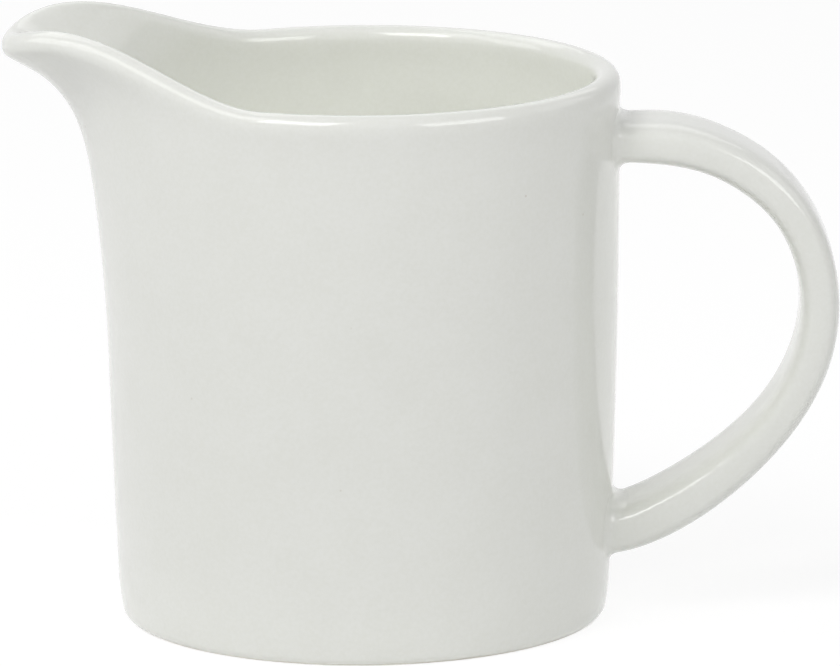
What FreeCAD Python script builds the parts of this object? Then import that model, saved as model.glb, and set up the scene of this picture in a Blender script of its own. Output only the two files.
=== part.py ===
"""Milk jug in white glazed porcelain, cast in one piece.

A round body that widens a little towards the rim, a broad pulled spout on -X,
a strap handle on +X and a foot ring under the base.  Millimetres, +Z up.
The origin is the centre of the foot, on the plane that the jug stands on.
"""
import FreeCAD, Part
import math
import os

# ---- driving dimensions -------------------------------------------------
RIM_RADIUS = 38.0          # outside of the lip, away from the spout
RIM_HEIGHT = 81.3          # top of the lip, away from the spout
BASE_RADIUS = 36.0         # outside of the wall carried down to the foot plane
BARREL = 0.55              # the wall stands this much proud of a straight taper, half way up
WALL = 3.6                 # thickness of the body wall
LIP_SWELL = 0.3            # the rounded lip is this much thicker than the wall
LIP_ROLL = 5.0             # height over which the wall swells into the lip

SPOUT_REACH = 52.6         # from the axis to the tip of the spout
SPOUT_NOSE_RADIUS = 14.1   # plan radius of the lip round the tip
SPOUT_RISE = 8.1           # crest of the spout above the rim
SPOUT_RISE_START = 14.5    # the rim starts to climb this far from the axis
CREST_SETBACK = 8.7        # and reaches its crest this far behind the tip
SPOUT_DROOP = 2.1          # the tip hangs this much below the crest
THROAT_HEIGHT = 38.6       # the wall starts to lean out into the spout here
THROAT_SHARE = 0.31        # how much of the flare is throat; the rest is lip
THROAT_POWER = 1.8         # how late in the rise the throat leans out
FLARE_POWER = 8.6          # and how late the lip curls out

TURN_IN_HEIGHT = 9.0       # the wall turns in towards the base below this
TURN_IN = 0.4              # by this much at the top of the base corner
BASE_CORNER = 1.6          # radius of the corner at the foot
FOOT_WIDTH = 3.2           # standing ring
FOOT_RECESS = 1.3          # depth of the recess inside the ring
FOOT_LEAN = 0.5            # the recess narrows upwards by this share of its depth
FOOT_BLEND = 0.6           # rounding between the recess and the ring
FLOOR = 4.6                # thickness of the floor over the recess plane
FLOOR_CORNER = 9.0         # inside radius between floor and wall

HANDLE_BELOW_RIM = 10.0    # from the rim down to the strap's centre at its upper root
HANDLE_BOTTOM = 12.8       # height of the strap's centre at its lower root
HANDLE_REACH = 70.1        # from the axis to the outermost face of the strap
HANDLE_WIDTH = 16.8
HANDLE_THICKNESS = 5.8
ROOT_DEPTH = 0.8           # how far the strap's ends are sunk into the wall at their edges
UPPER_SWELL = 0.45         # the strap is thicker by this much near its upper root
LOWER_SWELL = 1.2          # and by this much near its lower root
SWELL_HOLD = 0.10          # either swelling is full over this share of the strap's length
SWELL_END = 0.36           # and has died away at this one
ROOT_BLEND = 1.8           # radius of the fillet round each root
EDGE_FULLNESS = 4.0        # of the strap's section: 2 is an ellipse, more is squarer

# ---- how finely the curves are sampled ----------------------------------
RING_POINTS = 72
WALL_LEVELS = 16
LEVEL_CROWDING = 0.6       # 0 spaces the levels evenly, more crowds them towards the lip
LIP_STEPS = 6
CORNER_STEPS = 4
STRAP_POINTS = 24
STRAP_SECTIONS = 15
STEP = 1e-3                # change of angle or level over which the wall's slope is taken
SAME = 1e-6                # heights closer than this are one height

# ---- sizes that follow from those above -----------------------------------
LIP_RADIUS = (WALL + LIP_SWELL) / 2
LIP_CENTRE_HEIGHT = RIM_HEIGHT - LIP_RADIUS
RIM_CENTRE = RIM_RADIUS - LIP_RADIUS
NOSE_CENTRE = SPOUT_REACH - LIP_RADIUS - SPOUT_NOSE_RADIUS
SPOUT_CREST = SPOUT_REACH - CREST_SETBACK
HANDLE_TOP = RIM_HEIGHT - HANDLE_BELOW_RIM


def smooth(u):
    """0 below 0, 1 above 1, and an even S between them."""
    u = min(max(u, 0.0), 1.0)
    return u * u * (3 - 2 * u)


def rim_plan(angle):
    """Radius of the lip's centre line in plan, at an angle from the spout.

    The line is a circle round the axis and a smaller one round the nose, joined
    by their two common tangents.
    """
    a = abs(math.atan2(math.sin(angle), math.cos(angle)))
    tangent = math.acos((RIM_CENTRE - SPOUT_NOSE_RADIUS) / NOSE_CENTRE)
    nose_end = math.atan2(SPOUT_NOSE_RADIUS * math.sin(tangent),
                          NOSE_CENTRE + SPOUT_NOSE_RADIUS * math.cos(tangent))
    if a >= tangent:
        return RIM_CENTRE
    if a >= nose_end:
        return RIM_CENTRE / math.cos(tangent - a)
    across = NOSE_CENTRE * math.sin(a)
    return NOSE_CENTRE * math.cos(a) + math.sqrt(SPOUT_NOSE_RADIUS ** 2 - across ** 2)


def rim_level(angle):
    """Height of the lip's centre line at an angle from the spout."""
    forward = rim_plan(angle) * math.cos(angle)
    climb = smooth((forward - SPOUT_RISE_START) / (SPOUT_CREST - SPOUT_RISE_START))
    tip = rim_plan(0.0)
    over = max(0.0, forward - SPOUT_CREST) / (tip - SPOUT_CREST)
    return LIP_CENTRE_HEIGHT + SPOUT_RISE * climb - SPOUT_DROOP * over ** 2


def body_radius(z):
    """Middle of the wall at a height, without the spout."""
    share = min(z / LIP_CENTRE_HEIGHT, 1.0)
    base_centre = BASE_RADIUS - WALL / 2
    taper = base_centre + (RIM_CENTRE - base_centre) * share
    turn = max(0.0, TURN_IN_HEIGHT - z) / TURN_IN_HEIGHT
    belly = 4 * share * (1 - share)
    return taper - TURN_IN * turn ** 2 + BARREL * belly


def flare(u):
    """How far the wall has moved out into the spout, 0 at the throat to 1 at the lip."""
    u = max(u, 0.0)
    return THROAT_SHARE * u ** THROAT_POWER + (1 - THROAT_SHARE) * u ** FLARE_POWER


def wall_middle(angle, u):
    """Point on the middle of the wall: u runs from 0 at the foot plane to 1 at the lip."""
    top = rim_level(angle)
    z = u * top
    out = rim_plan(angle) - RIM_CENTRE
    r = body_radius(z) + out * flare((z - THROAT_HEIGHT) / (top - THROAT_HEIGHT))
    return FreeCAD.Vector(-r * math.cos(angle), r * math.sin(angle), z)


def wall_frame(angle, u):
    """Middle point, outward normal and upward tangent of the wall."""
    up = wall_middle(angle, u + STEP) - wall_middle(angle, u - STEP)
    along = wall_middle(angle + STEP, u) - wall_middle(angle - STEP, u)
    up.normalize()
    normal = up.cross(along)
    normal.normalize()
    return wall_middle(angle, u), normal, up


def half_thickness(u):
    """Half the wall, swelling into the lip near the rim."""
    swell = smooth(1 - (1 - u) * RIM_HEIGHT / LIP_ROLL)
    return (WALL + LIP_SWELL * swell) / 2


def ring(point_at):
    """Closed smooth curve through one point for each angle, its seam at the back."""
    angles = [math.pi / 2 + 2 * math.pi * i / RING_POINTS for i in range(RING_POINTS)]
    curve = Part.BSplineCurve()
    curve.interpolate(Points=[point_at(a) for a in angles], PeriodicFlag=True,
                      Parameters=[i / RING_POINTS for i in range(RING_POINTS + 1)])
    return Part.Wire([curve.toShape()])


def flat_circle(radius, z):
    return ring(lambda a: FreeCAD.Vector(-radius * math.cos(a), radius * math.sin(a), z))


def side_ring(u, side):
    """Outer (side 1) or inner (side -1) face of the wall at level u."""
    def point_at(angle):
        middle, normal, _ = wall_frame(angle, u)
        return middle + normal * (side * half_thickness(u))
    return ring(point_at)


def lip_ring(turn):
    """Ring round the lip: turn runs from 0 on the outside over the top to pi inside."""
    def point_at(angle):
        middle, normal, up = wall_frame(angle, 1.0)
        return middle + (normal * math.cos(turn) + up * math.sin(turn)) * LIP_RADIUS
    return ring(point_at)


def levels(start, end):
    """Levels from start to end, closer together near the lip."""
    shares = [i / WALL_LEVELS for i in range(WALL_LEVELS)]
    return [start + (end - start) * (s + LEVEL_CROWDING * s * (1 - s)) for s in shares]


def body():
    """Skin up the outside, over the lip and down the inside, closed by foot and floor."""
    rings = []
    corner_top = body_radius(BASE_CORNER) + WALL / 2
    for i in range(CORNER_STEPS):
        turn = math.pi / 2 * i / CORNER_STEPS
        rings.append(flat_circle(corner_top - BASE_CORNER * (1 - math.sin(turn)),
                                 BASE_CORNER * (1 - math.cos(turn))))
    for u in levels(BASE_CORNER / LIP_CENTRE_HEIGHT, 1.0):
        rings.append(side_ring(u, 1))
    for i in range(LIP_STEPS + 1):
        rings.append(lip_ring(math.pi * i / LIP_STEPS))
    floor_top = FOOT_RECESS + FLOOR
    corner_start = floor_top + FLOOR_CORNER
    for u in reversed(levels(corner_start / LIP_CENTRE_HEIGHT, 1.0)):
        rings.append(side_ring(u, -1))
    inside = body_radius(corner_start) - WALL / 2
    for i in range(1, CORNER_STEPS + 1):
        turn = math.pi / 2 * i / CORNER_STEPS
        rings.append(flat_circle(inside - FLOOR_CORNER * (1 - math.cos(turn)),
                                 corner_start - FLOOR_CORNER * math.sin(turn)))
    return Part.makeLoft(rings, True, False)


def foot_recess():
    """Shallow recess under the base that leaves the standing ring."""
    edge = body_radius(BASE_CORNER) + WALL / 2 - BASE_CORNER - FOOT_WIDTH
    disc = Part.makeCone(edge, edge - FOOT_LEAN * FOOT_RECESS, FOOT_RECESS)
    ceiling = [e for e in disc.Edges if abs(e.BoundBox.ZMin - FOOT_RECESS) < SAME]
    return disc.makeFillet(FOOT_BLEND, ceiling)


def root_reach(z):
    """Distance from the axis at which the strap ends, inside the wall, at a height."""
    outside = body_radius(z) + WALL / 2
    return math.sqrt(outside ** 2 - (HANDLE_WIDTH / 2) ** 2) - ROOT_DEPTH


def strap_line():
    """Centre line of the handle, level where it leaves the wall at either root.

    Its control points are shares of the way out from the roots to the reach and
    down from the upper root to the lower one.
    """
    drop = HANDLE_TOP - HANDLE_BOTTOM
    shares = [(0.0, 0.0), (0.375, 0.0), (0.655, 0.065), (0.93, 0.20), (1.045, 0.447),
              (0.885, 0.695), (0.48, 0.905), (0.135, 1.0), (0.0, 1.0)]
    spans = len(shares) - 3
    knots = [i / spans for i in range(spans + 1)]
    ends = [4] + [1] * (spans - 1) + [4]
    poles = []
    for x, z in shares:
        root = root_reach(HANDLE_TOP) * (1 - z) + root_reach(HANDLE_BOTTOM) * z
        out = HANDLE_REACH - HANDLE_THICKNESS / 2 - root
        poles.append(FreeCAD.Vector(root + out * x, 0, HANDLE_TOP - drop * z))
    line = Part.BSplineCurve()
    line.buildFromPolesMultsKnots(poles, ends, knots, False, 3)
    return line


def near_root(share):
    """1 close to a root, 0 further along the strap."""
    return 1 - smooth((share - SWELL_HOLD) / (SWELL_END - SWELL_HOLD))


def strap_section(line, share):
    """Soft-edged oval across the handle at a share of its length."""
    at = line.parameterAtDistance(share * line.length(), line.FirstParameter)
    centre = line.value(at)
    along = line.tangent(at)[0]
    outward = along.cross(FreeCAD.Vector(0, 1, 0))
    swell = UPPER_SWELL * near_root(share) + LOWER_SWELL * near_root(1 - share)
    half_t = (HANDLE_THICKNESS + swell) / 2
    half_w = HANDLE_WIDTH / 2
    points = []
    for i in range(STRAP_POINTS):
        turn = 2 * math.pi * i / STRAP_POINTS
        c, s = math.cos(turn), math.sin(turn)
        size = (abs(c) ** EDGE_FULLNESS + abs(s) ** EDGE_FULLNESS) ** (-1 / EDGE_FULLNESS)
        points.append(centre + FreeCAD.Vector(0, half_w * c * size, 0) + outward * (half_t * s * size))
    curve = Part.BSplineCurve()
    curve.interpolate(Points=points, PeriodicFlag=True,
                      Parameters=[i / STRAP_POINTS for i in range(STRAP_POINTS + 1)])
    return Part.Wire([curve.toShape()])


def handle():
    """The strap lofted through its sections, both ends sunk into the wall."""
    line = strap_line()
    sections = [strap_section(line, i / (STRAP_SECTIONS - 1)) for i in range(STRAP_SECTIONS)]
    return Part.makeLoft(sections, True, False)


def root_edges(shape):
    """The two closed seams where the strap meets the outside of the wall.

    They alone lie wholly on the handle's side and straddle its middle plane.
    """
    found = []
    for edge in shape.Edges:
        box = edge.BoundBox
        if box.XMin > 0 and abs(box.YMin + box.YMax) < HANDLE_WIDTH / 2:
            found.append(edge)
    return found


os.makedirs("parts", exist_ok=True)
shell = body().cut(foot_recess())
jug = shell.fuse(handle())
jug = jug.makeFillet(ROOT_BLEND, root_edges(jug))
jug.exportStep("parts/jug.step")
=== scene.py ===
import math
import bpy
import bmesh
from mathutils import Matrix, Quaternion, Vector


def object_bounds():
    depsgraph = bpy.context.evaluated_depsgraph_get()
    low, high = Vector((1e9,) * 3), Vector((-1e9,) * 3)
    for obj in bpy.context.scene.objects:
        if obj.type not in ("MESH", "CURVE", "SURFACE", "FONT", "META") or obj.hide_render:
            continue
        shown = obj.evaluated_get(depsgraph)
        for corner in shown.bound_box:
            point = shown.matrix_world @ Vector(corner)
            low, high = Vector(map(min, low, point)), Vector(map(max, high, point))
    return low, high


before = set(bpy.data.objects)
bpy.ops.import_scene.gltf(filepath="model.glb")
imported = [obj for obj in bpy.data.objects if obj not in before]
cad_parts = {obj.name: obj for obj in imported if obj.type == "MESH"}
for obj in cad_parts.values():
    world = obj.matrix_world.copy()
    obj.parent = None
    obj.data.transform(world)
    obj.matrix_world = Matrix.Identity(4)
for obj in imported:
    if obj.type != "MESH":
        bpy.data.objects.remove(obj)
cad_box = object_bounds()

# ---- jug -----------------------------------------------------------------
# The whole jug is one casting of white porcelain: body, pulled spout and strap
# handle, dipped in clear glaze and fired.  Only the foot ring is wiped bare,
# so that it doesn't stick to the kiln shelf.
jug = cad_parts["jug"]
MM = 0.001
GLAZE_WHITE = "#f6f7f2"       # white body seen through clear glaze, a little warm
GLAZE_SHADE = "#f3f4ee"       # where the glaze has run thicker
SPECK_GREY = "#e4e2d9"        # iron specks in the clay fire grey, paled by the glaze
BARE_WHITE = "#e6e3da"        # unglazed porcelain is duller and warmer
CLOUD_SIZE = 9 * MM           # soft clouds of thicker and thinner glaze
MOTTLE_SIZE = 0.6 * MM        # fine mottle of the body under the glaze
MOTTLE_SHARE = 0.6            # how much of the shading is mottle; the rest is clouds
NOISE_LOW, NOISE_HIGH = 0.35, 0.65      # most of a noise's values lie between these
SPECK_SPACING = 8 * MM        # size of the cell that holds at most one speck
SPECK_RADIUS = 0.25 * MM      # drawn a little coarse, so that it shows
SPECK_CORE = 0.08 * MM        # full colour inside this, soft from there out
SPECK_SHARE = 0.7             # share of the cells that hold one
WAVE_SIZE = 16 * MM           # slow waves in the surface of the glaze
WAVE_DEPTH = 0.04 * MM        # from trough to crest
BARE_HEIGHT = 0.5 * MM        # the glaze is wiped off up to here
WIPE_WANDER = 0.3 * MM        # and the wiped edge wanders by this much
WIPE_SIZE = 5 * MM            # over about this length
GLAZE_IOR = 1.5
GLAZE_ROUGHNESS = 0.07
BARE_ROUGHNESS = 0.6


def linear(hex_colour):
    """sRGB hex to the linear colour that a shader takes."""
    parts = [int(hex_colour[i:i + 2], 16) / 255 for i in (1, 3, 5)]
    return [p / 12.92 if p <= 0.04045 else ((p + 0.055) / 1.055) ** 2.4 for p in parts] + [1.0]


def add(owner, kind, settings, links):
    """Adds a node: settings by attribute, input name or number, links by input name or number."""
    node = owner.node_tree.nodes.new("ShaderNode" + kind)
    for name, value in settings.items():
        if isinstance(name, str) and hasattr(node, name):
            setattr(node, name, value)
        else:
            node.inputs[name].default_value = value
    for socket, source in links.items():
        owner.node_tree.links.new(source, node.inputs[socket])
    return node


# Porcelain under clear glaze, dipped and fired: a near-white body below a hard,
# wet-looking gloss.  The clay gives a faint mottle and a few grey specks, and
# the glaze pools a little, which makes reflections waver.
glaze = bpy.data.materials.new("porcelain_clear_glaze")
glaze.use_nodes = True
glaze.node_tree.nodes.clear()
place = add(glaze, "TexCoord", {}, {}).outputs["Object"]
clouds = add(glaze, "TexNoise", {"Scale": 1 / CLOUD_SIZE, "Detail": 2.0}, {"Vector": place})
mottle = add(glaze, "TexNoise", {"Scale": 1 / MOTTLE_SIZE, "Detail": 1.0}, {"Vector": place})
shading = add(glaze, "MixRGB", {"Fac": MOTTLE_SHARE},
              {"Color1": clouds.outputs["Fac"], "Color2": mottle.outputs["Fac"]})
shade = add(glaze, "MapRange", {"From Min": NOISE_LOW, "From Max": NOISE_HIGH},
            {"Value": shading.outputs["Color"]})
white = add(glaze, "MixRGB", {"Color1": linear(GLAZE_WHITE), "Color2": linear(GLAZE_SHADE)},
            {"Fac": shade.outputs["Result"]})

cells = add(glaze, "TexVoronoi", {"Scale": 1 / SPECK_SPACING}, {"Vector": place})
chosen = add(glaze, "Math", {"operation": "LESS_THAN", 1: SPECK_SHARE}, {0: cells.outputs["Color"]})
spot = add(glaze, "MapRange", {"From Min": SPECK_RADIUS / SPECK_SPACING,
                              "From Max": SPECK_CORE / SPECK_SPACING},
           {"Value": cells.outputs["Distance"]})
speck = add(glaze, "Math", {"operation": "MULTIPLY"},
            {0: spot.outputs["Result"], 1: chosen.outputs["Value"]})
speckled = add(glaze, "MixRGB", {"Color2": linear(SPECK_GREY)},
               {"Fac": speck.outputs["Value"], "Color1": white.outputs["Color"]})

wander = add(glaze, "TexNoise", {"Scale": 1 / WIPE_SIZE}, {"Vector": place})
height = add(glaze, "SeparateXYZ", {}, {"Vector": place})
edge = add(glaze, "Math", {"operation": "MULTIPLY_ADD", 1: -WIPE_WANDER},
           {0: wander.outputs["Fac"], 2: height.outputs["Z"]})
bare = add(glaze, "MapRange", {"From Min": BARE_HEIGHT - WIPE_WANDER / 2,
                              "From Max": BARE_HEIGHT - WIPE_WANDER},
           {"Value": edge.outputs["Value"]})
colour = add(glaze, "MixRGB", {"Color2": linear(BARE_WHITE)},
             {"Fac": bare.outputs["Result"], "Color1": speckled.outputs["Color"]})
gloss = add(glaze, "MapRange", {"To Min": GLAZE_ROUGHNESS, "To Max": BARE_ROUGHNESS},
            {"Value": bare.outputs["Result"]})

waves = add(glaze, "TexNoise", {"Scale": 1 / WAVE_SIZE, "Detail": 1.0}, {"Vector": place})
ripple = add(glaze, "Bump", {"Distance": WAVE_DEPTH}, {"Height": waves.outputs["Fac"]})
porcelain = add(glaze, "BsdfPrincipled", {"IOR": GLAZE_IOR},
                {"Base Color": colour.outputs["Color"], "Roughness": gloss.outputs["Result"],
                 "Normal": ripple.outputs["Normal"]})
add(glaze, "OutputMaterial", {}, {"Surface": porcelain.outputs["BSDF"]})
jug.data.materials.clear()
jug.data.materials.append(glaze)

# ---- floor and backdrop ----------------------------------------------------
# A matt white table that runs on past the view, and the white room behind it.
# They look white to the eye and in reflections, and keep the jug's shadow.
TABLE_WHITE = "#f4f4f4"
TABLE_HALF = 3.0              # half its width, in metres
TABLE_GLOW = 1.1              # what the table gives where it is looked at
TABLE_SHARE = 0.8             # how much of its look is that; the rest is the lit surface
ROOM_WHITE = "#ffffff"
ROOM_LIGHT = 0.02             # what the room itself gives to the jug


def looked_at(owner):
    """1 for the camera and for what gloss and glass show, 0 for light that falls on things."""
    rays = add(owner, "LightPath", {}, {})
    shown = add(owner, "Math", {"operation": "MAXIMUM"},
                {0: rays.outputs["Is Glossy Ray"], 1: rays.outputs["Is Transmission Ray"]})
    return add(owner, "Math", {"operation": "MAXIMUM"},
               {0: rays.outputs["Is Camera Ray"], 1: shown.outputs["Value"]}).outputs["Value"]


table = bpy.data.objects.new("table", bpy.data.meshes.new("table"))
sheet = bmesh.new()
bmesh.ops.create_grid(sheet, x_segments=1, y_segments=1, size=TABLE_HALF)
sheet.to_mesh(table.data)
sheet.free()
bpy.context.scene.collection.objects.link(table)

# Board painted matt white: it takes a soft shadow and shows no reflection.
matt = bpy.data.materials.new("matt_white_table")
matt.use_nodes = True
matt.node_tree.nodes.clear()
lit = add(matt, "BsdfDiffuse", {"Color": linear(TABLE_WHITE)}, {})
shine = add(matt, "Emission", {"Strength": TABLE_GLOW}, {})
share = add(matt, "Math", {"operation": "MULTIPLY", 1: TABLE_SHARE}, {0: looked_at(matt)})
both = add(matt, "MixShader", {}, {0: share.outputs["Value"], 1: lit.outputs["BSDF"],
                                   2: shine.outputs["Emission"]})
add(matt, "OutputMaterial", {}, {"Surface": both.outputs["Shader"]})
table.data.materials.append(matt)

room = bpy.data.worlds.new("white_room")
room.use_nodes = True
room.node_tree.nodes.clear()
dim = add(room, "Background", {"Color": linear(ROOM_WHITE), "Strength": ROOM_LIGHT}, {})
full = add(room, "Background", {"Color": linear(ROOM_WHITE), "Strength": 1.0}, {})
backdrop = add(room, "MixShader", {}, {0: looked_at(room), 1: dim.outputs["Background"],
                                       2: full.outputs["Background"]})
add(room, "OutputWorld", {}, {"Surface": backdrop.outputs["Shader"]})
bpy.context.scene.world = room

# ---- softboxes ---------------------------------------------------------------
# A light tent: one large box above and in front, a little to the left, and
# weaker ones round the sides, so that the jug is bright all round and its lip
# and the handle's edges carry soft highlights.
LAMP_DISTANCE = 1.2           # from the middle of the jug, in metres
SOFTBOXES = {                 # azimuth from the camera's side, elevation, width, height, glow
    "key": (-34, 48, 0.6, 0.5, 6.5),
    "right": (48, 28, 0.8, 0.5, 3.6),
    "left": (-90, 30, 0.6, 0.6, 2.0),
    "high_left": (-75, 55, 0.5, 0.5, 2.0),
    "behind_left": (-144, 48, 0.6, 0.55, 1.3),
    "behind": (175, 38, 0.9, 0.5, 0.6),
    "behind_right": (110, 30, 0.8, 0.5, 0.7),
}


def direction(azimuth, elevation):
    """Unit vector towards a place round the jug: azimuth 0 is the camera's side."""
    a, e = math.radians(azimuth), math.radians(elevation)
    return Vector((math.sin(a) * math.cos(e), -math.cos(a) * math.cos(e), math.sin(e)))


middle = (cad_box[0] + cad_box[1]) / 2
for name, (azimuth, elevation, width, tall, glow) in SOFTBOXES.items():
    lamp = bpy.data.lights.new(name, "AREA")
    lamp.shape = "RECTANGLE"
    lamp.size = width
    lamp.size_y = tall
    lamp.energy = math.pi * width * tall * glow     # seen face on, it has this glow
    box = bpy.data.objects.new(name, lamp)
    towards = direction(azimuth, elevation)
    box.location = middle + towards * LAMP_DISTANCE
    box.rotation_mode = "QUATERNION"
    box.rotation_quaternion = towards.to_track_quat("Z", "Y")
    bpy.context.scene.collection.objects.link(box)

# ---- camera ------------------------------------------------------------------
# A long lens from a little above, square to the plane of spout and handle.
CAMERA_DISTANCE = 1.4
CAMERA_ELEVATION = 12.18
CAMERA_ROLL = -0.28
LENS = 407.3                  # focal length in millimetres
AIM_SHIFT = Vector((-0.3, 0, -2.9)) * MM     # from the middle of the box to the aim

camera = bpy.data.objects.new("camera", bpy.data.cameras.new("camera"))
camera.data.lens = LENS
towards = direction(0, CAMERA_ELEVATION)
camera.location = middle + AIM_SHIFT + towards * CAMERA_DISTANCE
camera.rotation_mode = "QUATERNION"
camera.rotation_quaternion = (towards.to_track_quat("Z", "Y")
                              @ Quaternion((0, 0, 1), math.radians(CAMERA_ROLL)))
bpy.context.scene.collection.objects.link(camera)
bpy.context.scene.camera = camera
bpy.context.scene.view_settings.view_transform = "Standard"

# Light goes to and fro many times inside a white pot before it dies away.
DIFFUSE_BOUNCES = 12
ALL_BOUNCES = 16
bpy.context.scene.cycles.diffuse_bounces = DIFFUSE_BOUNCES
bpy.context.scene.cycles.max_bounces = ALL_BOUNCES
